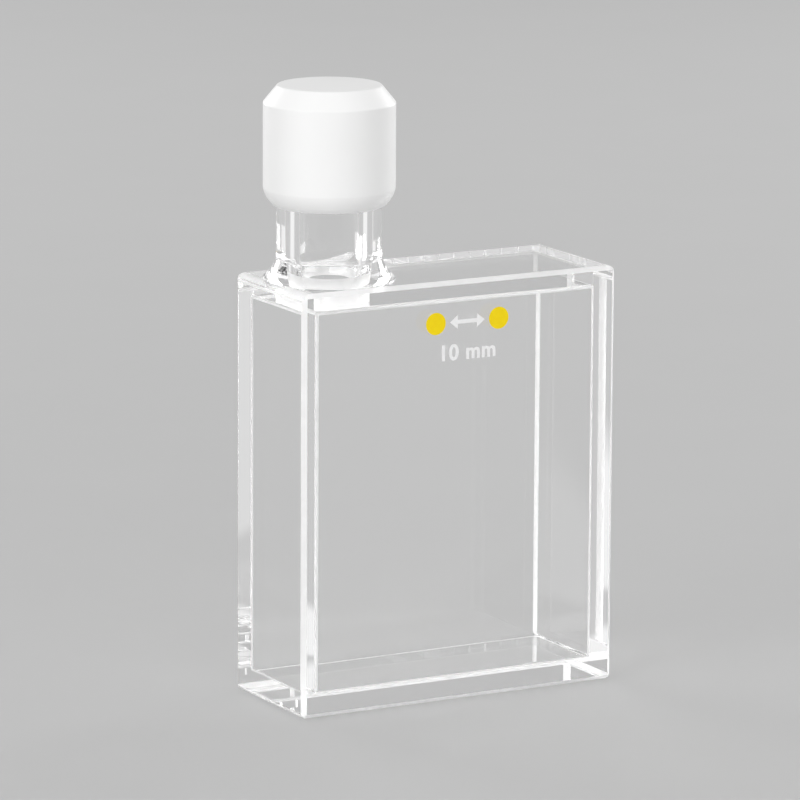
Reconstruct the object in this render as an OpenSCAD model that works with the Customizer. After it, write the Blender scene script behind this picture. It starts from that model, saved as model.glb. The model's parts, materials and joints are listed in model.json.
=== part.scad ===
// Wide closed spectrophotometer cell with a round neck and a screw cap.
// Six ground and polished quartz plates are fused edge to edge into a flat box,
// and a quartz tube with a flared foot is fused over the bore in its top plate.
// +Z is up and the origin is the middle of the underside. The light passes
// along Y, through the two large windows. The neck stands at the -X end.

/* [Cell body] */
// Optical path: inside depth between the two windows
path_length = 10; // [8:0.5:20]
// Inside width between the two end walls
cavity_w = 29; // [20:0.5:60]
// Height of the body, from the underside to the top face
body_h = 39; // [25:0.5:60]
// Thickness of each polished window
window_t = 1.5; // [1:0.05:2.5]
// Thickness of each end wall
end_wall_t = 1.75; // [1:0.05:2.5]
// Thickness of the base plate
base_t = 2; // [1:0.1:4]
// Thickness of the top plate
top_t = 1.85; // [1:0.05:4]
// Radius of the fused glass along the inside corners
seam_fillet_r = 0.3; // [0.1:0.05:0.6]
// Chamfer ground on the outer edges
edge_chamfer = 0.4; // [0.1:0.05:0.7]
// Radius on the two top corners, as seen from the front
top_corner_r = 0.8; // [0.2:0.1:1.5]

/* [Neck] */
// Outside diameter of the neck tube
neck_d = 9.6; // [8:0.1:12]
// Bore of the neck tube and of the hole in the top plate
neck_bore_d = 5.4; // [4.5:0.1:6]
// Height of the neck, from the top face to the rim
neck_h = 15; // [11:0.5:30]
// How far the fused foot flares out beyond the tube, where the body leaves it room
foot_flare = 1.3; // [0.3:0.1:1.5]
// Height of the flared foot
foot_h = 2; // [1.5:0.1:3]
// How deep the flare is hollowed below a straight cone
foot_hollow = 0.2; // [0.05:0.05:0.3]
// Height of the edge that the flare ends in
foot_lip = 0.1; // [0.05:0.05:0.3]
// Radius of the fire-polished rim
rim_r = 0.3; // [0.1:0.05:0.5]
// Distance from the side of the cap to the plane of the end wall
neck_margin = 0.1; // [0:0.1:10]

/* [Thread] */
// Rise of the cap for each whole turn
thread_pitch = 2.1; // [1.6:0.1:3]
// Depth of the groove that is ground into the neck
thread_depth = 0.4; // [0.2:0.05:0.5]
// Width of the groove at the surface of the neck
thread_w = 1.3; // [1.1:0.05:1.4]
// Distance from the mouth of the cap to the start of its thread
thread_lead = 2.05; // [1.8:0.05:4]
// Clearance at the crest and on each flank of the thread
thread_clearance = 0.1; // [0.05:0.01:0.2]

/* [Cap] */
// Overall height of the cap
cap_h = 11; // [9:0.5:11.5]
// Thickness of the skirt
cap_wall = 1.15; // [0.9:0.05:2]
// Thickness of the cap's roof over the seal
cap_roof_t = 1.7; // [1:0.1:3]
// Width of the cone turned on the top edge
cap_cone_w = 1.3; // [0.3:0.1:2]
// Height of the cone turned on the top edge
cap_cone_h = 1.6; // [0.3:0.1:2.5]
// Radius that breaks the two edges of that cone
cap_edge_r = 0.3; // [0.05:0.05:0.5]
// Height of the rounded lower edge
skirt_edge_h = 1.7; // [1:0.1:3]
// How far the lower edge bulges beyond a straight cone
skirt_bulge = 0.2; // [0.05:0.05:0.25]
// Width of the flat that is left at the mouth of the skirt
skirt_land = 0.1; // [0.1:0.05:0.5]
// Thickness of the seal disc
liner_t = 1; // [0.5:0.1:2]
// Radial running clearance between the cap and what turns in it
fit_clearance = 0.05; // [0.02:0.01:0.1]

/* [Hidden] */
$fn = 96;

body_w = cavity_w + 2 * end_wall_t;
body_d = path_length + 2 * window_t;
cap_bore_d = neck_d + 2 * fit_clearance;
cap_d = cap_bore_d + 2 * cap_wall;
neck_x = -body_w / 2 + neck_margin + cap_d / 2;
rim_z = body_h + neck_h;
cap_top_z = rim_z + liner_t + cap_roof_t;
skirt_z = cap_top_z - cap_h;
// The foot stays this far inside the edges of the body
foot_margin = 0.05;
foot_room = min(body_d / 2 - edge_chamfer, body_w / 2 + neck_x) - foot_margin;
foot_reach = min(foot_flare, foot_room - neck_d / 2);
// Heights of the middle of the cap's thread at its lower and its upper end
thread_low_z = skirt_z + thread_lead;
thread_high_z = rim_z - thread_w / 2;
groove_root_r = neck_d / 2 - thread_depth;
// Half of the width that the thread gains for each millimetre of its depth
thread_slope = 0.7;
// How far a thread's section runs on through the surface that it starts from
thread_over = 0.2;
thread_steps = 48;
cut = 1;

quartz_colour = [0.80, 0.90, 0.95, 0.45];
liner_colour = [0.92, 0.90, 0.86];
cap_colour = [0.97, 0.97, 0.97];

// Rectangle on its lower edge, with all four corners cut at 45 degrees
module cut_rectangle(w, h, c) {
  polygon([[-w / 2 + c, 0], [w / 2 - c, 0], [w / 2, c], [w / 2, h - c],
           [w / 2 - c, h], [-w / 2 + c, h], [-w / 2, h - c], [-w / 2, c]]);
}

// Body from the front: cut lower corners and rounded upper ones
module front_outline() {
  intersection() {
    cut_rectangle(body_w, body_h + cut, edge_chamfer);
    union() {
      translate([-body_w / 2, 0]) square([body_w, body_h - top_corner_r]);
      translate([top_corner_r - body_w / 2, 0]) square([body_w - 2 * top_corner_r, body_h]);
      for (side = [-1, 1])
        translate([side * (body_w / 2 - top_corner_r), body_h - top_corner_r])
          circle(r = top_corner_r);
    }
  }
}

// Outside of the finished body, which every plate is ground to
module body_envelope() {
  intersection() {
    translate([0, body_d / 2, 0])
      rotate([90, 0, 0]) linear_extrude(body_d) front_outline();
    translate([-body_w / 2, 0, 0])
      rotate([90, 0, 90]) linear_extrude(body_w) cut_rectangle(body_d, body_h, edge_chamfer);
    translate([0, -body_d / 2, 0])
      linear_extrude(body_h) cut_rectangle(body_w, body_d, edge_chamfer);
  }
}

// Rectangle about its middle, with all four corners rounded
module round_rectangle(w, h, r) {
  square([w - 2 * r, h], center = true);
  square([w, h - 2 * r], center = true);
  for (x = [-1, 1], y = [-1, 1])
    translate([x * (w / 2 - r), y * (h / 2 - r)]) circle(r = r);
}

// Inside of the cell, which leaves fused glass in every corner
module cavity() {
  cavity_h = body_h - base_t - top_t;
  r = seam_fillet_r;
  translate([0, 0, base_t + cavity_h / 2])
    intersection() {
      linear_extrude(cavity_h, center = true) round_rectangle(cavity_w, path_length, r);
      rotate([90, 0, 0])
        linear_extrude(path_length, center = true) round_rectangle(cavity_w, cavity_h, r);
      rotate([90, 0, 90])
        linear_extrude(cavity_w, center = true) round_rectangle(path_length, cavity_h, r);
    }
}

// A block given by two opposite corners
module block(low, high) {
  translate(low) cube(high - low);
}

// One plate of the cell: blocks that are ground to the outside and fused round the inside
module plate() {
  color(quartz_colour)
    difference() {
      intersection() {
        body_envelope();
        union() children();
      }
      cavity();
    }
}

// Window at the rear; the front one is the same plate turned round
module window() {
  plate() block([-body_w / 2, path_length / 2, 0], [body_w / 2, body_d / 2, body_h]);
}

module front_window() {
  rotate([0, 0, 180]) window();
}

module rear_window() {
  window();
}

// Wall at the +X end, with the fused glass of its own two corners
module end_wall() {
  low = base_t;
  high = body_h - top_t;
  plate() {
    block([cavity_w / 2, -path_length / 2, low], [body_w / 2, path_length / 2, high]);
    block([cavity_w / 2 - seam_fillet_r, -path_length / 2, low + seam_fillet_r],
          [body_w / 2, path_length / 2, high - seam_fillet_r]);
  }
}

module left_wall() {
  rotate([0, 0, 180]) end_wall();
}

module right_wall() {
  end_wall();
}

module base_plate() {
  plate() {
    block([-body_w / 2, -path_length / 2, 0], [body_w / 2, path_length / 2, base_t]);
    block([-cavity_w / 2, -path_length / 2, 0],
          [cavity_w / 2, path_length / 2, base_t + seam_fillet_r]);
  }
}

module top_plate() {
  low = body_h - top_t;
  difference() {
    plate() {
      block([-body_w / 2, -path_length / 2, low], [body_w / 2, path_length / 2, body_h]);
      block([-cavity_w / 2, -path_length / 2, low - seam_fillet_r],
            [cavity_w / 2, path_length / 2, body_h]);
    }
    translate([neck_x, 0, low - cut]) cylinder(d = neck_bore_d, h = top_t + 2 * cut);
  }
}

function unit(v) = v / norm(v);

// Radius and middle of the circle through a and b that stands off their chord by rise,
// on the right of the way from a to b
function arc_radius(a, b, rise) = (norm(b - a) ^ 2 / 4 + rise ^ 2) / (2 * rise);
function arc_middle(a, b, rise) =
  (a + b) / 2 + unit([a.y - b.y, b.x - a.x]) * (arc_radius(a, b, rise) - rise);

module arc_disc(a, b, rise) {
  translate(arc_middle(a, b, rise)) circle(r = arc_radius(a, b, rise));
}

// What a round edge takes off the corner at p, between the sides that run on to a and b
module edge_waste(p, a, b, r) {
  u = unit(a - p);
  v = unit(b - p);
  half = acos(u * v) / 2;
  reach = r / tan(half);
  middle = p + unit(u + v) * r / sin(half);
  difference() {
    polygon([middle, p + reach * u, 2 * p - middle, p + reach * v]);
    translate(middle) circle(r = r);
  }
}

// Section of the tube wall, with its flared foot and its rounded rim. Below the foot it
// goes on down to where the rounded corner of the body starts
module neck_section() {
  bore_r = neck_bore_d / 2;
  tube_r = neck_d / 2;
  foot_r = tube_r + foot_reach;
  difference() {
    union() {
      translate([bore_r, 0]) square([tube_r - bore_r, neck_h]);
      translate([bore_r, -top_corner_r]) square([foot_r - bore_r, top_corner_r + foot_lip]);
      difference() {
        polygon([[bore_r, 0], [foot_r, foot_lip], [tube_r, foot_h], [bore_r, foot_h]]);
        arc_disc([tube_r, foot_h], [foot_r, foot_lip], foot_hollow);
      }
    }
    edge_waste([tube_r, neck_h], [tube_r, 0], [0, neck_h], rim_r);
    edge_waste([bore_r, neck_h], [bore_r, 0], [foot_r, neck_h], rim_r);
  }
}

// Right-hand helical bar about the neck's axis, from z_low to z_high at its middle.
// Its section narrows from open_w at open_r to root_w at root_r. Over the first and
// the last eighth of a turn its root side runs out to fade_r.
module thread_bar(root_r, root_w, open_r, open_w, fade_r, z_low, z_high) {
  steps = ceil((z_high - z_low) / thread_pitch * thread_steps);
  fade_steps = thread_steps / 8;
  points = [
    for (i = [0:steps])
      let (z = z_low + i * thread_pitch / thread_steps,
           turn = 360 * z / thread_pitch,
           depth = min(1, i / fade_steps, (steps - i) / fade_steps),
           r = fade_r + (root_r - fade_r) * depth)
        for (corner = [[r, -root_w], [open_r, -open_w], [open_r, open_w], [r, root_w]])
          [corner.x * cos(turn), corner.x * sin(turn), z + corner.y / 2]
  ];
  sides = [
    for (i = [0:steps - 1], k = [0:3])
      let (a = 4 * i + k, b = 4 * i + (k + 1) % 4)
        each [[a, b + 4, a + 4], [a, b, b + 4]]
  ];
  last = 4 * steps;
  ends = [[3, 2, 1, 0], [last, last + 1, last + 2, last + 3]];
  polyhedron(points, concat(sides, ends), convexity = 8);
}

// Space that the groove takes out of the neck: it starts below the cap's thread
// and runs out through the rim
module neck_groove() {
  thread_bar(groove_root_r, thread_w - 2 * thread_depth * thread_slope,
             neck_d / 2 + thread_over, thread_w + 2 * thread_over * thread_slope,
             neck_d / 2 + thread_over / 2,
             thread_low_z - thread_pitch / 3, rim_z + thread_w);
}

// Thread that stands inside the cap, in step with the groove when the cap is home
module cap_thread() {
  crest_r = groove_root_r + thread_clearance;
  crest_w = thread_w - 2 * thread_depth * thread_slope - 2 * thread_clearance;
  base_r = cap_bore_d / 2 + thread_over;
  thread_bar(crest_r, crest_w,
             base_r, crest_w + 2 * (base_r - crest_r) * thread_slope,
             cap_bore_d / 2 + thread_over / 2,
             thread_low_z, thread_high_z);
}

// The foot is shaped to the body, so it also runs down over the rounded corner
module neck_tube() {
  color(quartz_colour)
    difference() {
      translate([neck_x, 0, body_h]) rotate_extrude() neck_section();
      translate([neck_x, 0, 0]) neck_groove();
      body_envelope();
    }
}

module cap_liner() {
  color(liner_colour)
    translate([neck_x, 0, rim_z]) cylinder(d = neck_d, h = liner_t);
}

// Half section of the cap: a cone round its top, a rounded lower edge, and a bore for the
// neck and the seal
module cap_section() {
  r = cap_d / 2;
  bore_r = cap_bore_d / 2;
  bore_h = cap_h - cap_roof_t;
  mouth = [bore_r + skirt_land, 0];
  skirt = [r, skirt_edge_h];
  side_top = [r, cap_h - cap_cone_h];
  roof_edge = [r - cap_cone_w, cap_h];
  difference() {
    union() {
      polygon([[bore_r, 0], mouth, skirt, side_top, roof_edge, [0, cap_h],
               [0, bore_h], [bore_r, bore_h]]);
      intersection() {
        arc_disc(mouth, skirt, skirt_bulge);
        translate([bore_r, 0]) square([cap_wall, skirt_edge_h]);
      }
    }
    edge_waste(side_top, skirt, roof_edge, cap_edge_r);
    edge_waste(roof_edge, side_top, [0, cap_h], cap_edge_r);
  }
}

module screw_cap() {
  color(cap_colour)
    translate([neck_x, 0, 0]) {
      translate([0, 0, skirt_z]) rotate_extrude() cap_section();
      cap_thread();
    }
}

front_window();
rear_window();
left_wall();
right_wall();
base_plate();
top_plate();
neck_tube();
cap_liner();
screw_cap();
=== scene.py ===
# %% [markdown]
# # A sealable quartz cell
#
# A spectrophotometer cell is a small clear box that holds a liquid in a beam of
# light. This one is wide and closed: six quartz plates are fused into a flat
# box, a round neck is fused over a bore near one end of its top, and a white
# turned cap screws on to the neck. The frame holds every piece at its real size
# and place. This script gives the cell its finish and its finely rounded
# shapes. It works in metres, in the frame's own axes: +Z is up and the light
# passes along Y.

# %% Load the frame
import json
import math

import bmesh
import bpy
from mathutils import Matrix, Vector


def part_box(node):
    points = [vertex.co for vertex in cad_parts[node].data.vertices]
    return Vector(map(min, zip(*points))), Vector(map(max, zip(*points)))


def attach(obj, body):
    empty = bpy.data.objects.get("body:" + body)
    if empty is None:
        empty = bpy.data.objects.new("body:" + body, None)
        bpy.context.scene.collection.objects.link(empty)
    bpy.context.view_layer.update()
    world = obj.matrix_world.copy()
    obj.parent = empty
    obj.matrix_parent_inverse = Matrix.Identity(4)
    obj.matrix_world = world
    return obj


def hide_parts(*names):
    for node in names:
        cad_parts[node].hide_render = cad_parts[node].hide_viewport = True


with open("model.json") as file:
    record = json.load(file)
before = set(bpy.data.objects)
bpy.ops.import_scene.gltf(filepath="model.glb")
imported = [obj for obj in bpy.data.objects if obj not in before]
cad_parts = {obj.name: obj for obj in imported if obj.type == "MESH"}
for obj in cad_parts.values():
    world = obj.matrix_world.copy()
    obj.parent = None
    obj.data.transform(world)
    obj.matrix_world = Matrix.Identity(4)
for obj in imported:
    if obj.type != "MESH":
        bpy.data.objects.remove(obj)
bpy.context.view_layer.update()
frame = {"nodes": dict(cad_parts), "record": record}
MM = 0.001
print("frame:", sorted(frame["nodes"]))

# %% [markdown]
# ## Sizes
#
# Every size that the frame can give is read from the boxes of its nodes, so the
# shapes below follow the frame. The small ones that a box can't show, such as a
# chamfer or the radius of a rim, are named here once. The quartz that fills an
# inside seam belongs to the end walls, so a wall's box reaches into the cell by
# the radius of a seam.

# %% Sizes
SEAM_R = 0.3 * MM
EDGE_CHAMFER = 0.4 * MM
TOP_CORNER_R = 0.8 * MM
BORE_R = 2.7 * MM
TUBE_R = 4.8 * MM
RIM_R = 0.3 * MM
FOOT_R = 6.05 * MM
FOOT_H = 2.0 * MM
FOOT_HOLLOW = 0.2 * MM
FOOT_LIP = 0.1 * MM
WELD = 0.0002 * MM

front_low, front_high = (Vector(corner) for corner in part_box("front_window"))
rear_low, rear_high = (Vector(corner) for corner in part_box("rear_window"))
wall_low, wall_high = (Vector(corner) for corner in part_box("right_wall"))
cap_low, cap_high = (Vector(corner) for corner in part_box("screw_cap"))
liner_low, liner_high = (Vector(corner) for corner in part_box("cap_liner"))
joints = {joint["name"]: joint for joint in frame["record"]["behaviour"]["joints"]}
couplings = {pair["joint"]: pair for pair in frame["record"]["behaviour"]["couplings"]}

body_w = front_high.x - front_low.x
body_d = rear_high.y - front_low.y
body_h = front_high.z
path_length = rear_low.y - front_high.y
cavity_w = 2 * (wall_low.x + SEAM_R)
cavity_low = wall_low.z
cavity_high = wall_high.z
neck_x = joints["cap_turn"]["pos_m"][0]
rim_z = liner_low.z
thread_pitch = 2 * math.pi / couplings["cap_turn"]["ratio"]
print("body", [round(v / MM, 2) for v in (body_w, body_d, body_h)], "mm")
print("inside", [round(v / MM, 2) for v in (cavity_w, path_length, cavity_high - cavity_low)], "mm")
print("neck at", round(neck_x / MM, 2), "mm, thread pitch", round(thread_pitch / MM, 3), "mm")

# %% [markdown]
# ## Camera
#
# A long lens from a little over half a metre keeps the upright edges nearly
# parallel. The camera is placed by the direction that it looks from, as an
# angle round the cell and a height over the bench, and by the point it aims at.

# %% Camera
VIEW_TURN = math.radians(-29.24)
VIEW_RISE = math.radians(11.56)
VIEW_ROLL = math.radians(0.30)
VIEW_DISTANCE = 551.8 * MM
AIM = Vector((-2.73, 0, 27.03)) * MM
LENS = 271.7
SENSOR_W = 36
NEAREST_SEEN = 10 * MM

camera_data = bpy.data.cameras.new("camera")
camera_data.lens = LENS
camera_data.sensor_width = SENSOR_W
camera_data.clip_start = NEAREST_SEEN
camera = bpy.data.objects.new("camera", camera_data)
bpy.context.collection.objects.link(camera)
to_camera = Vector((math.sin(VIEW_TURN) * math.cos(VIEW_RISE),
                    -math.cos(VIEW_TURN) * math.cos(VIEW_RISE),
                    math.sin(VIEW_RISE)))
facing = to_camera.to_track_quat("Z", "Y").to_matrix().to_4x4()
roll = Matrix.Rotation(VIEW_ROLL, 4, "Z")
camera.matrix_world = Matrix.Translation(AIM + to_camera * VIEW_DISTANCE) @ facing @ roll
bpy.context.scene.camera = camera
print("camera at", [round(v, 4) for v in camera.matrix_world.translation])

# %% [markdown]
# ## Node trees as Python
#
# A material or a shape is easier to read as a formula than as a web of nodes.
# This class wraps one output socket, in a shader tree or a geometry tree. Adding
# or multiplying two of them adds the Math node that does it, and every other
# kind of node comes from the one method `make`. A Mix node has its own sockets
# for each kind of data, so the four that mix two colours are named first.

# %% Node helper
MIX_FACTOR, MIX_FIRST, MIX_SECOND, MIX_RESULT = 0, 6, 7, 2


class Wire:
    """One value in a node tree, for use in Python expressions."""

    def __init__(self, tree, socket=None):
        self.tree = tree
        self.socket = socket

    def make(self, kind, settings=None, inputs=None, output=0):
        node = self.tree.nodes.new(kind)
        for name, value in (settings or {}).items():
            setattr(node, name, value)
        for name, value in (inputs or {}).items():
            several = value if isinstance(value, list) else [value]
            for one in several:
                if isinstance(one, Wire):
                    self.tree.links.new(one.socket, node.inputs[name])
                else:
                    node.inputs[name].default_value = one
        return Wire(self.tree, node.outputs[output])

    def math(self, operation, *values, clamp=False):
        settings = {"operation": operation, "use_clamp": clamp}
        return self.make("ShaderNodeMath", settings, dict(enumerate(values)))

    def __add__(self, other):
        return self.math("ADD", self, other)

    def __sub__(self, other):
        return self.math("SUBTRACT", self, other)

    def __rsub__(self, other):
        return self.math("SUBTRACT", other, self)

    def __mul__(self, other):
        return self.math("MULTIPLY", self, other)

    def __truediv__(self, other):
        return self.math("DIVIDE", self, other)

    def __rtruediv__(self, other):
        return self.math("DIVIDE", other, self)

    def __neg__(self):
        return self * -1

    __radd__ = __add__
    __rmul__ = __mul__

    def between(self, low, high):
        """Rises from 0 to 1 as this value goes from low to high."""
        return self.math("DIVIDE", self - low, high - low, clamp=True)

    def place(self):
        return self.make("ShaderNodeTexCoord", output="Object")

    def axis(self, name):
        return self.make("ShaderNodeSeparateXYZ", inputs={0: self}, output=name)

    def noise(self, scale, detail=3.0, roughness=0.5, stretch=(1, 1, 1)):
        point = self.make("ShaderNodeVectorMath", {"operation": "MULTIPLY"}, {0: self, 1: stretch})
        values = {"Vector": point, "Scale": scale, "Detail": detail, "Roughness": roughness}
        return self.make("ShaderNodeTexNoise", inputs=values, output="Fac")

    def mix(self, first, second):
        """A colour that is first where this value is 0 and second where it is 1."""
        values = {MIX_FACTOR: self, MIX_FIRST: first, MIX_SECOND: second}
        return self.make("ShaderNodeMix", {"data_type": "RGBA"}, values, output=MIX_RESULT)

    def bump(self, depth, strength=1.0):
        values = {"Strength": strength, "Distance": depth, "Height": self}
        return self.make("ShaderNodeBump", inputs=values, output="Normal")

    def vector(self, x, y, z):
        return self.make("ShaderNodeCombineXYZ", inputs={0: x, 1: y, 2: z})


def surface_material(name, shade):
    """A material whose surface is what shade(wire) returns."""
    made = bpy.data.materials.new(name)
    made.use_nodes = True
    tree = made.node_tree
    tree.nodes.clear()
    surface = shade(Wire(tree))
    end = tree.nodes.new("ShaderNodeOutputMaterial")
    tree.links.new(surface.socket, end.inputs["Surface"])
    return made


def material(name, paint):
    """A Principled material: paint(wire) gives its sockets' values or links."""
    return surface_material(name, lambda wire: wire.make(
        "ShaderNodeBsdfPrincipled", inputs=paint(wire)))


def grey(level):
    return (level, level, level, 1)


print("a Wire can:", [name for name in vars(Wire) if not name.startswith("_")])

# %% [markdown]
# ### Meshes from trees and modifiers
#
# Trees and modifiers are handy while a shape is being made, but the finished
# part has to be plain meshes with their place built in. So each helper here ends
# in a new mesh and clears away what it was made from. The one that cleans a mesh
# also counts its open edges, and a closed body has none.

# %% Shape helpers
SHARP_FROM = math.radians(20)


def applied(carrier, name):
    """What the carrier's modifiers make, as a new plain mesh. The carrier goes."""
    graph = bpy.context.evaluated_depsgraph_get()
    mesh = bpy.data.meshes.new_from_object(carrier.evaluated_get(graph))
    bpy.data.objects.remove(carrier)
    mesh.name = name
    made = bpy.data.objects.new(name, mesh)
    bpy.context.collection.objects.link(made)
    return made


def grown(name, rule, sizes, finish):
    """A mesh from a Geometry Nodes tree. rule(wire, size) gives the tree's shape,
    and sizes holds the tree's named inputs."""
    tree = bpy.data.node_groups.new(name, "GeometryNodeTree")
    tree.interface.new_socket("Geometry", in_out="OUTPUT", socket_type="NodeSocketGeometry")
    for label in sizes:
        tree.interface.new_socket(label, in_out="INPUT", socket_type="NodeSocketFloat")
    start = tree.nodes.new("NodeGroupInput")
    size = {label: Wire(tree, start.outputs[label]) for label in sizes}
    wire = Wire(tree)
    shape = wire.make("GeometryNodeRealizeInstances", inputs={"Geometry": rule(wire, size)})
    shape = wire.make("GeometryNodeSetMaterial", inputs={"Geometry": shape, "Material": finish})
    end = tree.nodes.new("NodeGroupOutput")
    tree.links.new(shape.socket, end.inputs["Geometry"])
    carrier = bpy.data.objects.new(name, bpy.data.meshes.new(name))
    bpy.context.collection.objects.link(carrier)
    modifier = carrier.modifiers.new(name, "NODES")
    modifier.node_group = tree
    for item in tree.interface.items_tree:
        if item.in_out == "INPUT":
            modifier[item.identifier] = sizes[item.name]
    return applied(carrier, name)


def boolean(target, operation, tool):
    """The target with the tool added or cut away. Both are used up."""
    step = target.modifiers.new(operation, "BOOLEAN")
    step.operation = operation
    step.solver = "EXACT"
    step.object = tool
    made = applied(target, target.name)
    bpy.data.objects.remove(tool)
    return made


def cleaned(piece, dissolve=None):
    """Joins doubled points, and faces that meet at less than the angle dissolve.
    Returns the number of open edges."""
    model = bmesh.new()
    model.from_mesh(piece.data)
    bmesh.ops.remove_doubles(model, verts=model.verts, dist=WELD)
    if dissolve is not None:
        bmesh.ops.dissolve_limit(model, angle_limit=dissolve, verts=model.verts, edges=model.edges)
    open_edges = sum(not edge.is_manifold for edge in model.edges)
    model.to_mesh(piece.data)
    model.free()
    return open_edges


def shaded(piece):
    """Smooth shading that keeps every edge that turns by more than SHARP_FROM."""
    piece.data.shade_smooth()
    piece.data.set_sharp_from_angle(angle=SHARP_FROM)
    normals = piece.modifiers.new("normals", "WEIGHTED_NORMAL")
    normals.keep_sharp = True
    return applied(piece, piece.name)


print("points closer than", WELD / MM, "mm are joined")

# %% [markdown]
# ### Turned shapes
#
# The neck, its bore and the cap are all round, so each is one outline that is
# spun about the neck's axis, as a lathe would make it. The outline is a list of
# points, as distance from the axis and height. Two helpers put arcs into it: a
# bulge or hollow between two points, and a rounded corner.

# %% Turned shapes
LATHE_STEPS = 192
ARC_STEPS = 10


def arc(first, last, rise, steps=ARC_STEPS):
    """Points of the circle from first to last that stands off their chord by rise.
    A positive rise bulges to the right of the way from first to last."""
    first = Vector(first)
    last = Vector(last)
    chord = last - first
    radius = (chord.length ** 2 / 4 + rise ** 2) / (2 * abs(rise))
    left = Vector((-chord.y, chord.x)).normalized() * math.copysign(1, rise)
    middle = (first + last) / 2 + left * (radius - abs(rise))
    start = first - middle
    sweep = start.angle_signed(last - middle)
    return [middle + Matrix.Rotation(-sweep * i / steps, 2) @ start for i in range(steps + 1)]


def rounded(before, corner, after, radius, steps=ARC_STEPS):
    """Points of the arc that rounds a corner between two straight sides."""
    corner = Vector(corner)
    u = (Vector(before) - corner).normalized()
    v = (Vector(after) - corner).normalized()
    half = u.angle(v) / 2
    reach = radius / math.tan(half)
    middle = corner + (u + v).normalized() * radius / math.sin(half)
    start = corner + u * reach - middle
    sweep = start.angle_signed(corner + v * reach - middle)
    return [middle + Matrix.Rotation(-sweep * i / steps, 2) @ start for i in range(steps + 1)]


def turned(name, outline):
    """The outline spun about the neck's axis into a closed mesh."""
    model = bmesh.new()
    ring = [model.verts.new((r, 0, z)) for r, z in outline]
    sides = [model.edges.new(pair) for pair in zip(ring, ring[1:])]
    bmesh.ops.spin(model, geom=ring + sides, axis=(0, 0, 1), angle=2 * math.pi,
                   steps=LATHE_STEPS, use_merge=True)
    bmesh.ops.remove_doubles(model, verts=model.verts, dist=WELD)
    bmesh.ops.translate(model, verts=model.verts, vec=(neck_x, 0, 0))
    bmesh.ops.recalc_face_normals(model, faces=model.faces)
    mesh = bpy.data.meshes.new(name)
    model.to_mesh(mesh)
    model.free()
    made = bpy.data.objects.new(name, mesh)
    bpy.context.collection.objects.link(made)
    return made


print("lathe:", LATHE_STEPS, "steps a turn,", ARC_STEPS, "steps an arc")

# %% [markdown]
# ## Quartz
#
# Polished quartz is nearly invisible: it shows by what it bends and mirrors, so
# it takes true glass with quartz's refractive index, which is lower than that of
# common glass. Edges that are ground and left unpolished scatter light and read
# as white lines, which is most of what the eye sees of such a cell. So the
# ground finish is partly a white scattering surface and partly rough glass. A
# trace of haze on the polish and an uneven grain on the ground edges keep both
# from looking drawn. A noise's scale is how many of its patches lie in a metre.

# %% Quartz finishes
QUARTZ_IOR = 1.458
HAZE_SCALE = 220
HAZE_ROUGHNESS = 0.012
WEAR_SCALE = 900
GROUND_DULL = 0.86
GROUND_WHITE = 0.96
GROUND_ROUGHNESS = 0.5
GROUND_CLEAR_SHARE = 0.4
GRAIN_SCALE = 9000
GRAIN_DEPTH = 0.02 * MM


def polished(wire):
    haze = wire.place().noise(HAZE_SCALE, 2).between(0.55, 0.85)
    return {
        "Base Color": grey(1),
        "Roughness": haze * HAZE_ROUGHNESS,
        "IOR": QUARTZ_IOR,
        "Transmission Weight": 1.0,
    }


def ground(wire):
    point = wire.place()
    grain = point.noise(GRAIN_SCALE, 3, 0.7)
    wear = point.noise(WEAR_SCALE, 3)
    return {
        "Base Color": wear.mix(grey(GROUND_DULL), grey(GROUND_WHITE)),
        "Roughness": GROUND_ROUGHNESS + wear * 0.2,
        "IOR": QUARTZ_IOR,
        "Transmission Weight": GROUND_CLEAR_SHARE,
        "Normal": grain.bump(GRAIN_DEPTH, 0.6),
    }


polished_quartz = material("polished_quartz", polished)
ground_quartz = material("ground_quartz", ground)
print("quartz bends light by", QUARTZ_IOR)

# %% [markdown]
# ### The box
#
# The real box is ground to its outside once the plates are fused, so its outside
# is what three outlines share: from the front, from the side and from above, each
# a rectangle with cut corners. The inside is the same idea with rounded corners,
# because molten quartz fills each inside seam. A Geometry Nodes tree says just
# that. Light crosses a fused seam without bending, and separate plates that only
# touched would each bend and mirror it again, so the whole cell is one closed
# mesh and that one piece stands for all of its plates.

# %% Box of the cell
LAY = (math.pi / 2, 0, 0)
LAY_AND_TURN = (math.pi / 2, 0, math.pi / 2)
SEAM_STEPS = 8
COPLANAR = math.radians(0.05)


def bar(wire, width, height, length, radius, points, turn=(0, 0, 0), middle=0.0):
    """A bar whose outline is a rectangle with cut (1 point) or rounded corners.
    It is made along Z, turned, and moved up to put its middle at the given height."""
    outline = wire.make("GeometryNodeCurvePrimitiveQuadrilateral", {"mode": "RECTANGLE"},
                        {"Width": width, "Height": height})
    outline = wire.make("GeometryNodeFilletCurve", {"mode": "POLY"},
                        {"Curve": outline, "Count": points, "Radius": radius})
    end = wire.make("GeometryNodeFillCurve", {"mode": "NGONS"}, {"Curve": outline})
    sides = wire.make("GeometryNodeExtrudeMesh", {"mode": "FACES"},
                      {"Mesh": end, "Offset Scale": length, "Individual": False})
    other_end = wire.make("GeometryNodeFlipFaces", inputs={"Mesh": end})
    closed = wire.make("GeometryNodeJoinGeometry", inputs={"Geometry": [sides, other_end]})
    closed = wire.make("GeometryNodeMergeByDistance", inputs={"Geometry": closed, "Distance": WELD})
    centred = wire.make("GeometryNodeTransform", inputs={
        "Geometry": closed, "Translation": wire.vector(0, 0, length * -0.5)})
    return wire.make("GeometryNodeTransform", inputs={
        "Geometry": centred, "Rotation": turn, "Translation": wire.vector(0, 0, middle)})


def shared(wire, bars):
    """The space that all the bars have in common."""
    return wire.make("GeometryNodeMeshBoolean", {"operation": "INTERSECT", "solver": "EXACT"},
                     {"Mesh 2": bars})


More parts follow.
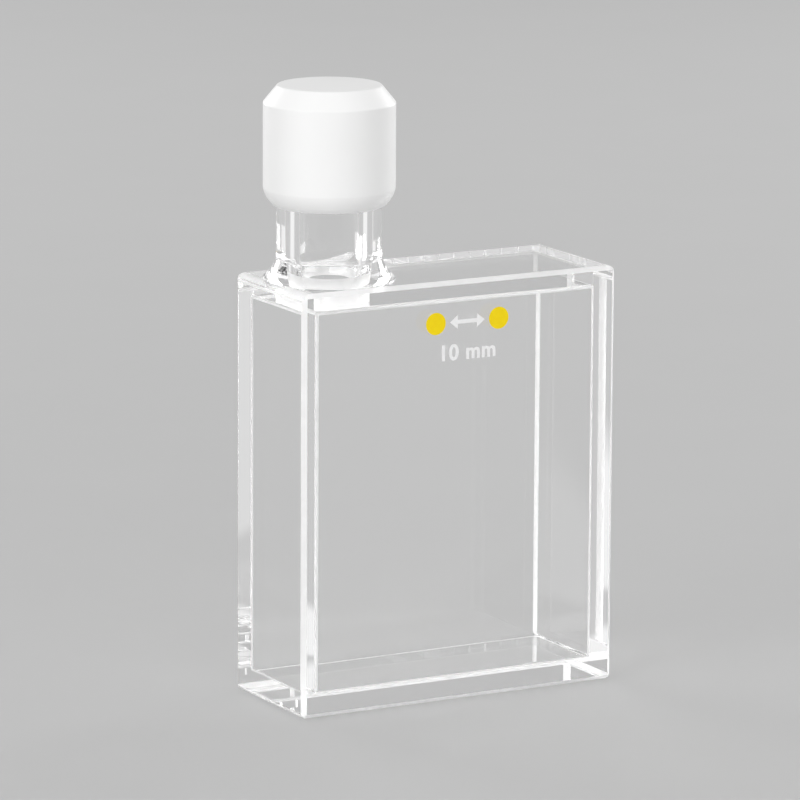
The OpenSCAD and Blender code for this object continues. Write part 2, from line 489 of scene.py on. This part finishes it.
def box_rule(wire, size):
    w, d, h = size["Width"], size["Depth"], size["Height"]
    chamfer = size["Chamfer"]
    long = w * 2
    outside = shared(wire, [
        bar(wire, w, d, long, chamfer, 1, middle=h * 0.5),
        bar(wire, w, h, long, chamfer, 1, LAY, h * 0.5),
        bar(wire, d, h, long, chamfer, 1, LAY_AND_TURN, h * 0.5),
        bar(wire, w, h * 2, long, size["Top corner radius"], ARC_STEPS, LAY, 0.0),
    ])
    inner_w, inner_d, inner_h = size["Inside width"], size["Path length"], size["Inside height"]
    seam = size["Seam radius"]
    middle = size["Inside floor"] + inner_h * 0.5
    inside = shared(wire, [
        bar(wire, inner_w, inner_d, inner_h, seam, SEAM_STEPS, middle=middle),
        bar(wire, inner_w, inner_h, inner_d, seam, SEAM_STEPS, LAY, middle),
        bar(wire, inner_d, inner_h, inner_w, seam, SEAM_STEPS, LAY_AND_TURN, middle),
    ])
    return wire.make("GeometryNodeMeshBoolean", {"operation": "DIFFERENCE", "solver": "EXACT"},
                     {"Mesh 1": outside, "Mesh 2": inside})


quartz = grown("cell_box", box_rule, {
    "Width": body_w,
    "Depth": body_d,
    "Height": body_h,
    "Chamfer": EDGE_CHAMFER,
    "Top corner radius": TOP_CORNER_R,
    "Inside width": cavity_w,
    "Path length": path_length,
    "Inside height": cavity_high - cavity_low,
    "Inside floor": cavity_low,
    "Seam radius": SEAM_R,
}, polished_quartz)
print("box:", cleaned(quartz, COPLANAR), "open edges,", len(quartz.data.polygons), "faces")

# %% [markdown]
# ### The neck
#
# The neck is drawn tube, fused on so hot that its foot flares out over the top of
# the box and runs down over the rounded corner. It is turned solid and joined to
# the box first. Then one drill makes the bore through both, so it is straight
# from the rim to the inside of the box.

# %% Neck and bore
FOOT_STEPS = 16
DRILL_OVER = 1 * MM

foot_top = (TUBE_R, body_h + FOOT_H)
foot_edge = (FOOT_R, body_h + FOOT_LIP)
neck_outline = [
    (0, body_h - TOP_CORNER_R),
    (FOOT_R, body_h - TOP_CORNER_R),
    *arc(foot_edge, foot_top, -FOOT_HOLLOW, FOOT_STEPS),
    *rounded(foot_top, (TUBE_R, rim_z), (0, rim_z), RIM_R),
    (0, rim_z),
]
drill_outline = [
    (0, cavity_high - DRILL_OVER),
    (BORE_R, cavity_high - DRILL_OVER),
    (BORE_R, body_h),
    *rounded((BORE_R, body_h), (BORE_R, rim_z), (TUBE_R, rim_z), RIM_R),
    (BORE_R + RIM_R, rim_z + DRILL_OVER),
    (0, rim_z + DRILL_OVER),
]
quartz = boolean(quartz, "UNION", turned("neck", neck_outline))
cleaned(quartz)
quartz = boolean(quartz, "DIFFERENCE", turned("drill", drill_outline))
print("with neck:", cleaned(quartz), "open edges,", len(quartz.data.polygons), "faces")

# %% [markdown]
# ### Thread
#
# A thread is one small outline that follows a helix. The same Geometry Nodes
# tree makes the groove that is ground into the neck and the thread that stands
# inside the cap, with a little clearance between them. Over the last eighth of
# a turn the outline shrinks to a small stub, where the cutter runs out. The
# groove starts a third of a turn below the thread, so the thread never meets
# its end.

# %% Helical thread
THREAD_LEAD = 2.05 * MM
GROOVE_DEPTH = 0.4 * MM
GROOVE_W = 1.3 * MM
FLANK = 0.7
THREAD_CLEARANCE = 0.1 * MM
OVER = 0.2 * MM
THREAD_STEPS = 96
RUN_OUT = 1 / 8
STUB_SCALE = 0.18
GROOVE_EARLY = 1 / 3


def thread_rule(wire, size):
    pitch, low, high = size["Pitch"], size["Low"], size["High"]
    turns = (high - low) / pitch
    helix = wire.make("GeometryNodeCurveSpiral", inputs={
        "Resolution": THREAD_STEPS, "Rotations": turns, "Start Radius": size["Open radius"],
        "End Radius": size["Open radius"], "Height": high - low, "Reverse": True})
    helix = wire.make("GeometryNodeSetCurveNormal", {"mode": "Z_UP"}, {"Curve": helix})
    inward = size["Root radius"] - size["Open radius"]
    open_half, root_half = size["Open width"] * 0.5, size["Root width"] * 0.5
    outline = wire.make("GeometryNodeCurvePrimitiveQuadrilateral", {"mode": "POINTS"}, {
        "Point 1": wire.vector(0, open_half, 0),
        "Point 2": wire.vector(inward, root_half, 0),
        "Point 3": wire.vector(inward, -root_half, 0),
        "Point 4": wire.vector(0, -open_half, 0)})
    along = wire.make("GeometryNodeSplineParameter", output="Factor") * turns
    fade_in = along.between(0, RUN_OUT)
    fade_out = (turns - along).between(0, RUN_OUT)
    fade = wire.math("MINIMUM", fade_in, fade_out)
    scale = wire.math("MAXIMUM", fade, STUB_SCALE)
    swept = wire.make("GeometryNodeCurveToMesh", inputs={
        "Curve": helix, "Profile Curve": outline, "Scale": scale, "Fill Caps": True})
    start = low / pitch * (2 * math.pi)
    return wire.make("GeometryNodeTransform", inputs={
        "Geometry": swept, "Rotation": wire.vector(0, 0, start),
        "Translation": wire.vector(size["Axis x"], 0, low)})


thread_low = cap_low.z + THREAD_LEAD
thread_high = rim_z - GROOVE_W / 2
root_r = TUBE_R - GROOVE_DEPTH
crest_w = GROOVE_W - 2 * GROOVE_DEPTH * FLANK - 2 * THREAD_CLEARANCE
groove = grown("groove", thread_rule, {
    "Pitch": thread_pitch,
    "Low": thread_low - thread_pitch * GROOVE_EARLY,
    "High": rim_z + GROOVE_W,
    "Open radius": TUBE_R + OVER,
    "Open width": GROOVE_W + 2 * OVER * FLANK,
    "Root radius": root_r,
    "Root width": GROOVE_W - 2 * GROOVE_DEPTH * FLANK,
    "Axis x": neck_x,
}, ground_quartz)
print("groove:", cleaned(groove), "open edges,", len(groove.data.polygons), "faces")
quartz = boolean(quartz, "DIFFERENCE", groove)
print("quartz:", cleaned(quartz), "open edges,", len(quartz.data.polygons), "faces")

# %% [markdown]
# ### Polished and ground faces
#
# The faces are sorted by where they lie. The windows, the ends, the inside and
# the tube are polished. The cut outer edges, the rounded corners, the drilled
# hole in the top plate and the thread are left ground. The quartz that fills the
# upright and upper inside seams clouds as it is fused, so it has the same white
# finish. Round the base it stays clear.

# %% Sort the faces by finish
POLISHED, GROUND = 0, 1
FLAT = math.cos(math.radians(2))
NEAR = 0.02 * MM


def is_ground(centre, normal):
    """True on cut edges, along seams, in the drilled hole and on the neck's thread."""
    from_axis = math.hypot(centre.x - neck_x, centre.y)
    if from_axis < BORE_R + NEAR and cavity_high + NEAR < centre.z < body_h:
        return True
    if centre.z > body_h + NEAR:
        return centre.z > cap_low.z and root_r - NEAR < from_axis < TUBE_R - NEAR
    inside = (abs(centre.x) < cavity_w / 2 + NEAR and abs(centre.y) < path_length / 2 + NEAR
              and centre.z < cavity_high + NEAR)
    round_base = inside and centre.z < cavity_low + SEAM_R
    under_foot = from_axis < FOOT_R + NEAR and centre.z > body_h - TOP_CORNER_R
    flat = max(abs(normal.x), abs(normal.y), abs(normal.z)) > FLAT
    return not (round_base or under_foot or flat)


quartz.data.materials.clear()
for finish in (polished_quartz, ground_quartz):
    quartz.data.materials.append(finish)
for face in quartz.data.polygons:
    face.material_index = GROUND if is_ground(face.center, face.normal) else POLISHED
quartz.name = "quartz_cell"
quartz_cell = shaded(quartz)
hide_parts(*frame["record"]["behaviour"]["bodies"]["cell"])
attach(quartz_cell, "cell")
ground_faces = sum(face.material_index == GROUND for face in quartz_cell.data.polygons)
print("quartz cell:", len(quartz_cell.data.polygons), "faces,", ground_faces, "of them ground")

# %% [markdown]
# ## Cap and seal
#
# The cap is turned from a white fluoropolymer: a smooth side, a straight cone
# round the top, and a lower edge that curves in to the neck. The tool leaves very
# faint rings, and the plastic has a waxy sheen. The rings are a noise that is
# stretched sideways until it hardly changes round the cap. The seal is the
# frame's own plain disc, with a rubber finish.

# %% Cap and seal finishes
CLOUD_SCALE = 160
PLASTIC_SHADE = (0.84, 0.84, 0.835, 1)
PLASTIC_WHITE = (0.88, 0.88, 0.88, 1)
PLASTIC_ROUGHNESS = 0.36
PLASTIC_IOR = 1.38
RING_SCALE = 3200
RING_STRETCH = (0.015, 0.015, 1)
RING_DEPTH = 0.004 * MM
SEAL_SHADE = (0.78, 0.75, 0.7, 1)
SEAL_PALE = (0.84, 0.82, 0.78, 1)


def turned_plastic(wire):
    point = wire.place()
    cloud = point.noise(CLOUD_SCALE, 2)
    rings = point.noise(RING_SCALE, 2, 0.6, stretch=RING_STRETCH)
    return {
        "Base Color": cloud.mix(PLASTIC_SHADE, PLASTIC_WHITE),
        "Roughness": PLASTIC_ROUGHNESS + rings * 0.1,
        "IOR": PLASTIC_IOR,
        "Normal": rings.bump(RING_DEPTH, 0.5),
    }


def seal_rubber(wire):
    tint = wire.place().noise(400, 3).mix(SEAL_SHADE, SEAL_PALE)
    return {"Base Color": tint, "Roughness": 0.6}


cap_plastic = material("cap_plastic", turned_plastic)
seal = material("seal", seal_rubber)
for slot in frame["nodes"]["cap_liner"].material_slots:
    slot.material = seal
print("finishes:", cap_plastic.name, seal.name)

# %% [markdown]
# ### The cap's shape
#
# The outline runs from the seal's place down the inside, round the mouth, up the
# outside and over the top, and is turned about the neck's axis. The thread inside
# is the same helix as the groove in the neck, a little thinner, and it is joined
# to the turned cap so that both are one closed body.

# %% Cap
CAP_CLEARANCE = 0.05 * MM
CAP_LAND = 0.1 * MM
CAP_CONE_W = 1.3 * MM
CAP_CONE_H = 1.6 * MM
CAP_EDGE_R = 0.3 * MM
SKIRT_EDGE_H = 1.7 * MM
SKIRT_BULGE = 0.2 * MM
CONE_STEPS = 6

cap_r = (cap_high.x - cap_low.x) / 2
cap_bore_r = TUBE_R + CAP_CLEARANCE
mouth = (cap_bore_r + CAP_LAND, cap_low.z)
skirt = (cap_r, cap_low.z + SKIRT_EDGE_H)
side_top = (cap_r, cap_high.z - CAP_CONE_H)
roof_edge = (cap_r - CAP_CONE_W, cap_high.z)
cap_outline = [
    (0, liner_high.z),
    (cap_bore_r, liner_high.z),
    (cap_bore_r, cap_low.z),
    *arc(mouth, skirt, SKIRT_BULGE),
    *rounded(skirt, side_top, roof_edge, CAP_EDGE_R, CONE_STEPS),
    *rounded(side_top, roof_edge, (0, cap_high.z), CAP_EDGE_R, CONE_STEPS),
    (0, cap_high.z),
]
cap_thread = grown("cap_thread", thread_rule, {
    "Pitch": thread_pitch,
    "Low": thread_low,
    "High": thread_high,
    "Open radius": cap_bore_r + OVER,
    "Open width": crest_w + 2 * (cap_bore_r + OVER - root_r - THREAD_CLEARANCE) * FLANK,
    "Root radius": root_r + THREAD_CLEARANCE,
    "Root width": crest_w,
    "Axis x": neck_x,
}, cap_plastic)
cap = boolean(turned("turned_cap", cap_outline), "UNION", cap_thread)
print("cap:", cleaned(cap), "open edges,", len(cap.data.polygons), "faces")
cap.data.materials.clear()
cap.data.materials.append(cap_plastic)
turned_cap = shaded(cap)
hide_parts("screw_cap")
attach(turned_cap, "cap")

# %% [markdown]
# ## Print
#
# The front window carries a fired print: two yellow dots, a plain mark between
# them, and the path length. Each is a very thin plate of ink on the glass. The
# mark is a double-ended arrow and the lettering is the plain size of the path.
# Each plate is closed, with a front, a back and a rim, so it also shows from
# behind, through the glass. A font's size counts more than the height of a
# capital, so the wanted height is divided by the capital's share.

# %% Print
INK_T = 0.008 * MM
INK_GAP = 0.001 * MM
DOT_R = 1.02 * MM
DOT_X = (-2.70 * MM, 3.85 * MM)
MARK_Z = 35.2 * MM
LABEL_X = 0.6 * MM
LABEL_Z = 32.35 * MM
LABEL_H = 1.45 * MM
CAPITAL_SHARE = 0.72
LETTER_SPACING = 1.08
LETTER_WEIGHT = 0.06 * MM
ARROW_HALF = 1.8 * MM
ARROW_BAR_HALF = 0.19 * MM
ARROW_HEAD = 0.8 * MM
ARROW_SPREAD = 0.8
INK_SCALE = 2500
YELLOW_DEEP = (0.88, 0.64, 0.004, 1)
YELLOW_LIGHT = (0.96, 0.74, 0.006, 1)
print_y = -body_d / 2 - INK_GAP


def pale_ink(wire):
    wear = wire.place().noise(INK_SCALE, 3)
    return {"Base Color": wear.mix(grey(0.84), grey(0.92)), "Roughness": 0.45 + wear * 0.2}


def yellow_ink(wire):
    wear = wire.place().noise(INK_SCALE, 3)
    return {
        "Base Color": wear.mix(YELLOW_DEEP, YELLOW_LIGHT),
        "Roughness": 0.4 + wear * 0.2,
        "Specular IOR Level": 0.2,
    }


def printed(name, outlines, finish):
    """Thin plates of ink on the front window, from outlines of (x, z) points."""
    model = bmesh.new()
    for outline in outlines:
        corners = [model.verts.new((x, print_y, z)) for x, z in outline]
        face = model.faces.new(corners)
        grown_part = bmesh.ops.extrude_face_region(model, geom=[face], use_keep_orig=True)
        raised = [v for v in grown_part["geom"] if isinstance(v, bmesh.types.BMVert)]
        bmesh.ops.translate(model, verts=raised, vec=(0, -INK_T, 0))
    bmesh.ops.recalc_face_normals(model, faces=model.faces)
    mesh = bpy.data.meshes.new(name)
    model.to_mesh(mesh)
    model.free()
    mesh.materials.append(finish)
    made = bpy.data.objects.new(name, mesh)
    bpy.context.collection.objects.link(made)
    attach(made, "cell")
    return made


def disc(x, z, radius, steps=64):
    turns = [2 * math.pi * i / steps for i in range(steps)]
    return [(x + radius * math.cos(a), z + radius * math.sin(a)) for a in turns]


def double_arrow(x, z):
    """One outline: a thin bar with a pointed head at each end."""
    neck = ARROW_HALF - ARROW_HEAD
    spread = ARROW_HEAD * ARROW_SPREAD
    right = [(neck, -ARROW_BAR_HALF), (neck, -spread), (ARROW_HALF, 0),
             (neck, spread), (neck, ARROW_BAR_HALF)]
    left = [(-px, -pz) for px, pz in right]
    return [(x + px, z + pz) for px, pz in right + left]


white_ink = material("white_ink", pale_ink)
dot_ink = material("yellow_ink", yellow_ink)
dots = printed("print_dots", [disc(x, MARK_Z, DOT_R) for x in DOT_X], dot_ink)
arrow = printed("print_arrow", [double_arrow(sum(DOT_X) / 2, MARK_Z)], white_ink)

text = bpy.data.curves.new("label", "FONT")
text.body = "10 mm"
text.align_x = "CENTER"
text.align_y = "CENTER"
text.size = LABEL_H / CAPITAL_SHARE
text.space_character = LETTER_SPACING
text.offset = LETTER_WEIGHT
text.extrude = INK_T / 2
text.resolution_u = 6
carrier = bpy.data.objects.new("label", text)
bpy.context.collection.objects.link(carrier)
label = applied(carrier, "print_label")
label_place = Matrix.Translation((LABEL_X, print_y - INK_T / 2, LABEL_Z))
label.data.transform(label_place @ Matrix.Rotation(math.pi / 2, 4, "X"))
cleaned(label)
label.data.materials.clear()
label.data.materials.append(white_ink)
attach(label, "cell")
print("print:", [piece.name for piece in (dots, arrow, label)])

# %% [markdown]
# ## Studio
#
# The cell stands on a plain pale bench, and soft boxes light it from all round,
# so that no side of the white cap burns out. The bench lies a hair below the
# cell, so that the two don't share a plane. Glass shows what lies behind it and
# beside it, so the bench does more than a floor would:
#
# - A lamp's light reaches the bench through clear glass only by bent paths, which
#   would leave the bench too dark there. So what the eye sees of the bench,
#   directly or through the glass, gets a share of its own pale colour.
# - The ground edges inside the quartz are lit through the quartz too. A ray that
#   a matt surface scattered and that then went through glass sees the bench and
#   the sky brighter.
# - In a studio, white cards beside a glass object put bright lines along its
#   edges. Here no cards stand: a ray that was mirrored inside the quartz sees the
#   bench glow paler than it is, and that glow paints the bright lines in as
#   painted reflections. It sees it white in two sectors, left and right behind the
#   cell, and right under the cell, and rather pale in a third sector, in front and
#   to the right.
# - The round neck bends rays aside as well as mirroring them. Those rays land on
#   a ring of the bench, farther off than what the camera sees through the
#   windows, and on that ring the two sectors behind the cell glow white for them
#   too. That glow paints the neck's upright stripes, as painted reflections.
#
# The bench's own glow hangs on the kind of ray that meets it. A lamp's can't, so
# the bench is kept out of Cycles' list of lamps.

# %% Bench
BENCH_SIZE = 6
BENCH_DROP = 0.06 * MM
BENCH_COLOUR = 0.5
BENCH_MOTTLE = 0.01
OWN_SHARE = 0.45
THROUGH_GLASS = 0.8
# Painted reflections: mirrored rays see the bench glow at these greys, paler than it is, which paints
# light lines on the glass.
EDGE_SHEEN_GREY = 0.58
SIDE_SHEEN_GREY = 0.74
SIDE_NEAR = math.radians(100)
SIDE_FAR = math.radians(140)
# Painted glints: where cards would stand, mirrored rays see the bench glow this white.
CARD_GLINT_WHITE = 0.92
GLINT_SECTOR_NEAR = math.radians(25)
GLINT_SECTOR_FAR = math.radians(52)
PAINTED_SECTOR_FADE = math.radians(3)
RING_NEAR = 184 * MM
RING_FAR = 236 * MM
RING_FADE = 2 * MM
UNDER_R = 18 * MM


def light_path(wire, output):
    return wire.make("ShaderNodeLightPath", output=output)


def greatest(wire, first, *others):
    """The greatest of several values."""
    for other in others:
        first = wire.math("MAXIMUM", first, other)
    return first


def within(value, low, high, fade):
    """1 where the value lies between low and high, with soft ends."""
    return value.between(low, low + fade) * (high - value).between(0, fade)


def seen_by_eye(wire):
    """1 for a ray from the camera, or one that glass or gloss has sent on."""
    return greatest(wire, light_path(wire, "Is Camera Ray"), light_path(wire, "Is Glossy Ray"),
                    light_path(wire, "Is Transmission Ray"))


def scattered_then_bent(wire):
    """1 for a ray that a matt surface has scattered and that then went through glass."""
    scattered = light_path(wire, "Diffuse Depth").between(0, 1)
    return scattered * light_path(wire, "Is Transmission Ray")


def turn_from_sight(wire):
    """The way from the cell to a point of the bench, as an angle to the right of
    the camera's line of sight."""
    point = wire.place()
    return wire.math("ARCTAN2", point.axis("X"), point.axis("Y")) + VIEW_TURN


def painted_card_glint(wire, mirrored, through_glass):
    """1 for a ray that sees the bench glow white, as a painted reflection of white cards that aren't
    there.
    """
    away = wire.make("ShaderNodeVectorMath", {"operation": "LENGTH"}, {0: wire.place()},
                     output="Value")
    off_sight = wire.math("ABSOLUTE", turn_from_sight(wire))
    behind = within(off_sight, GLINT_SECTOR_NEAR, GLINT_SECTOR_FAR, PAINTED_SECTOR_FADE)
    on_ring = within(away, RING_NEAR, RING_FAR, RING_FADE)
    under_cell = 1 - away.between(UNDER_R, UNDER_R + RING_FADE)
    beside = behind * greatest(wire, mirrored, on_ring * through_glass)
    return greatest(wire, beside, under_cell * mirrored)


def side_sheen_sector(wire):
    """1 where the bench lies in front of the cell and to its right; there mirrored rays see a painted
    sheen.
    """
    return within(turn_from_sight(wire), SIDE_NEAR, SIDE_FAR, PAINTED_SECTOR_FADE)


def bench_finish(wire):
    mottle = wire.place().noise(60, 3)
    matt = wire.make("ShaderNodeBsdfPrincipled", inputs={
        "Base Color": mottle.mix(grey(BENCH_COLOUR - BENCH_MOTTLE), grey(BENCH_COLOUR + BENCH_MOTTLE)),
        "Roughness": 0.9})
    through_glass = light_path(wire, "Is Transmission Ray")
    mirrored = light_path(wire, "Glossy Depth").between(0, 1) * through_glass
    scattered = scattered_then_bent(wire)
    # Painted glints: mirrored rays see the bench glow white where cards would stand, which paints
    # bright lines on the glass.
    card_glint = painted_card_glint(wire, mirrored, through_glass)
    # Painted sheen: other mirrored rays see the bench glow paler than it is, palest in front and to
    # the right.
    edge = side_sheen_sector(wire).mix(grey(EDGE_SHEEN_GREY), grey(SIDE_SHEEN_GREY))
    seen = card_glint.mix(mirrored.mix(grey(BENCH_COLOUR), edge), grey(CARD_GLINT_WHITE))
    own = wire.make("ShaderNodeEmission", inputs={
        "Color": scattered.mix(seen, grey(THROUGH_GLASS)), "Strength": 1.0})
    share = greatest(wire, seen_by_eye(wire) * OWN_SHARE, mirrored, card_glint, scattered)
    return wire.make("ShaderNodeMixShader", inputs={0: share, 1: matt, 2: own})


bpy.ops.mesh.primitive_plane_add(size=BENCH_SIZE, location=(0, 0, -BENCH_DROP))
bench = bpy.context.object
bench.name = "bench"
bench_material = surface_material("bench", bench_finish)
bench_material.cycles.emission_sampling = "NONE"
bench.data.materials.append(bench_material)
print("bench:", BENCH_COLOUR, "grey")

# %% [markdown]
# ### Soft boxes and sky
#
# The lamps are weak and wide. The front one is the strongest, because it lights
# the side of the white cap that the camera sees, and the two behind the cell
# make the glints in the neck and its foot. The camera doesn't see a lamp itself,
# only what it lights and where the glass mirrors it. The sky fills the shadows.

# %% Soft boxes and sky
SKY = 0.5


def soft_box(name, size, watts, place):
    """A rectangular lamp that faces the point the camera aims at."""
    data = bpy.data.lights.new(name, "AREA")
    data.shape = "RECTANGLE"
    data.size, data.size_y = size
    data.energy = watts
    made = bpy.data.objects.new(name, data)
    bpy.context.collection.objects.link(made)
    made.visible_camera = False
    turn = (Vector(place) - AIM).to_track_quat("Z", "Y").to_matrix().to_4x4()
    made.matrix_world = Matrix.Translation(place) @ turn


soft_box("top_box", size=(0.9, 0.9), watts=1.2, place=(0.05, 0.1, 1.0))
soft_box("front_box", size=(0.5, 0.4), watts=2.1, place=(-0.12, -0.72, 0.35))
soft_box("left_box", size=(0.25, 0.4), watts=1.5, place=(-0.57, -0.18, 0.21))
soft_box("right_box", size=(0.2, 0.4), watts=0.35, place=(0.5, -0.05, 0.21))
soft_box("rear_left_box", size=(0.2, 0.3), watts=1.2, place=(-0.12, 0.59, 0.16))
soft_box("rear_right_box", size=(0.2, 0.3), watts=1.2, place=(0.56, 0.21, 0.16))

world = bpy.data.worlds.new("world")
bpy.context.scene.world = world
world.use_nodes = True
world.node_tree.nodes.clear()
sky = Wire(world.node_tree)
glow = sky.make("ShaderNodeBackground", inputs={
    "Color": scattered_then_bent(sky).mix(grey(SKY), grey(THROUGH_GLASS)), "Strength": 1.0})
end = sky.tree.nodes.new("ShaderNodeOutputWorld")
sky.tree.links.new(glow.socket, end.inputs["Surface"])
bpy.context.scene.view_settings.view_transform = "Standard"

# %% [markdown]
# ### Long paths of light
#
# Light that enters the edge of a quartz plate is mirrored from face to face down
# its whole length, often twenty times. Cut off after a few bounces it turns
# black, and the edges of the cell would look like smoked glass. The ground edges
# on the far side are seen through the quartz, and the light on them comes through
# it too. Cycles would blur that light as if the quartz were frosted, and the
# edges would turn grey, so the blur is off.

# %% Light inside the quartz
GLASS_BOUNCES = 48
cycles = bpy.context.scene.cycles
cycles.max_bounces = GLASS_BOUNCES
cycles.glossy_bounces = GLASS_BOUNCES
cycles.transmission_bounces = GLASS_BOUNCES
cycles.blur_glossy = 0.0
print("light may bounce", GLASS_BOUNCES, "times")

# %% [markdown] ## Size The finished model should fill the same box as
# the frame did when it was loaded, apart from the few thousandths of a
# millimetre of ink on the window.
